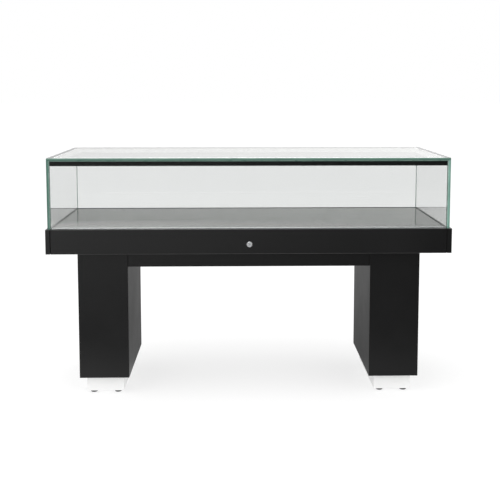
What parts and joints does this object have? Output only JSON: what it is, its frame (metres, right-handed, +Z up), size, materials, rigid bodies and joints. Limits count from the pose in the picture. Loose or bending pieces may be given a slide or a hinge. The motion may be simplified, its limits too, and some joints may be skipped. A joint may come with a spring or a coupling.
{
  "type": "display case",
  "caption": "Floor-standing museum table showcase: glass hood on a black frame with box legs; the locked front and the display deck slide out together as a drawer.",
  "frame": {"origin": "floor point under the middle of the frame, in the plane of the foot pads", "axes": "+Z up, front and opening direction along -Y, +X to the right of a viewer who faces the front"},
  "size_m": [1.6, 0.6025, 0.968],
  "materials": {
    "white_lacquer": "white satin lacquer on board",
    "black_zinc": "black zinc-plated steel",
    "black_laminate": "black satin laminate on 18 mm board",
    "zinc_steel": "bright zinc-plated steel",
    "softwood": "planed softwood",
    "grey_enamel": "light grey enamelled case",
    "black_nylon": "black moulded nylon",
    "clear_glass": "clear float glass with polished green edges",
    "black_anodised": "black anodised extrusion",
    "opal_cover": "opal acrylic cover",
    "led_board": "white solder mask with LED phosphor",
    "satin_aluminium": "satin anodised",
    "clear_seal": "clear flexible seal",
    "deck_core": "grey through-coloured board",
    "grey_gloss": "high-gloss grey panel",
    "lock_chrome": "satin chrome"
  },
  "bodies": {
    "stand": {"plinth_left": "white_lacquer", "plinth_right": "white_lacquer", "leg_left_front": "black_laminate", "leg_left_rear": "black_laminate", "leg_left_outer": "black_laminate", "leg_left_inner": "black_laminate", "leg_left_plates": "black_laminate", "leg_right_front": "black_laminate", "leg_right_rear": "black_laminate", "leg_right_outer": "black_laminate", "leg_right_inner": "black_laminate", "leg_right_plates": "black_laminate", "fixings": "zinc_steel", "apron_front": "black_laminate", "apron_rear": "black_laminate", "service_cleats": "softwood", "access_panel": "black_laminate", "led_driver": "grey_enamel", "cable_gland": "black_nylon", "base_board": "black_laminate", "frame_side_left": "black_laminate", "frame_side_right": "black_laminate", "frame_rear": "black_laminate", "pane_left": "clear_glass", "pane_right": "clear_glass", "pane_rear": "clear_glass", "pane_top": "clear_glass", "led_channel_front": "black_anodised", "led_channel_rear": "black_anodised", "led_channel_left": "black_anodised", "led_channel_right": "black_anodised", "led_diffusers": "opal_cover", "led_strips": "led_board", "slide_outer_left": "zinc_steel", "slide_outer_right": "zinc_steel", "lock_keeper": "zinc_steel"},
    "drawer": {"fascia": "black_laminate", "pane_front": "clear_glass", "glazing_bead": "satin_aluminium", "dust_seals": "clear_seal", "deck_board": "deck_core", "deck_panel": "grey_gloss", "drawer_rail_left": "black_laminate", "drawer_rail_right": "black_laminate", "fascia_brackets": "zinc_steel", "slide_inner_left": "zinc_steel", "slide_inner_right": "zinc_steel", "lock_housing": "lock_chrome"},
    "slide_left": {"slide_middle_left": "zinc_steel"},
    "slide_right": {"slide_middle_right": "zinc_steel"},
    "lock": {"lock_plug": "lock_chrome", "lock_cam": "zinc_steel"},
    "foot_left_front_out": {"foot_left_front_out": "black_zinc"},
    "foot_left_front_in": {"foot_left_front_in": "black_zinc"},
    "foot_left_rear_out": {"foot_left_rear_out": "black_zinc"},
    "foot_left_rear_in": {"foot_left_rear_in": "black_zinc"},
    "foot_right_front_out": {"foot_right_front_out": "black_zinc"},
    "foot_right_front_in": {"foot_right_front_in": "black_zinc"},
    "foot_right_rear_out": {"foot_right_rear_out": "black_zinc"},
    "foot_right_rear_in": {"foot_right_rear_in": "black_zinc"}
  },
  "joints": [
    {"name": "drawer_slide", "type": "slide", "parent": "stand", "child": "drawer", "axis": [0, -1, 0], "range_m": [0, 0.45]},
    {"name": "drawer_mid_left", "type": "slide", "parent": "stand", "child": "slide_left", "axis": [0, -1, 0], "range_m": [0, 0.225]},
    {"name": "drawer_mid_right", "type": "slide", "parent": "stand", "child": "slide_right", "axis": [0, -1, 0], "range_m": [0, 0.225]},
    {"name": "cam_turn", "type": "hinge", "parent": "drawer", "child": "lock", "pos_m": [0, -0.3, 0.6275], "axis": [0, 1, 0], "range_deg": [0, 90]},
    {"name": "foot_left_front_out_screw", "type": "slide", "parent": "stand", "child": "foot_left_front_out", "axis": [0, 0, -1], "range_m": [0, 0.012]},
    {"name": "foot_left_front_in_screw", "type": "slide", "parent": "stand", "child": "foot_left_front_in", "axis": [0, 0, -1], "range_m": [0, 0.012]},
    {"name": "foot_left_rear_out_screw", "type": "slide", "parent": "stand", "child": "foot_left_rear_out", "axis": [0, 0, -1], "range_m": [0, 0.012]},
    {"name": "foot_left_rear_in_screw", "type": "slide", "parent": "stand", "child": "foot_left_rear_in", "axis": [0, 0, -1], "range_m": [0, 0.012]},
    {"name": "foot_right_front_out_screw", "type": "slide", "parent": "stand", "child": "foot_right_front_out", "axis": [0, 0, -1], "range_m": [0, 0.012]},
    {"name": "foot_right_front_in_screw", "type": "slide", "parent": "stand", "child": "foot_right_front_in", "axis": [0, 0, -1], "range_m": [0, 0.012]},
    {"name": "foot_right_rear_out_screw", "type": "slide", "parent": "stand", "child": "foot_right_rear_out", "axis": [0, 0, -1], "range_m": [0, 0.012]},
    {"name": "foot_right_rear_in_screw", "type": "slide", "parent": "stand", "child": "foot_right_rear_in", "axis": [0, 0, -1], "range_m": [0, 0.012]}
  ],
  "couplings": [
    {"joint": "drawer_mid_left", "follows": "drawer_slide", "ratio": 0.5},
    {"joint": "drawer_mid_right", "follows": "drawer_slide", "ratio": 0.5}
  ]
}
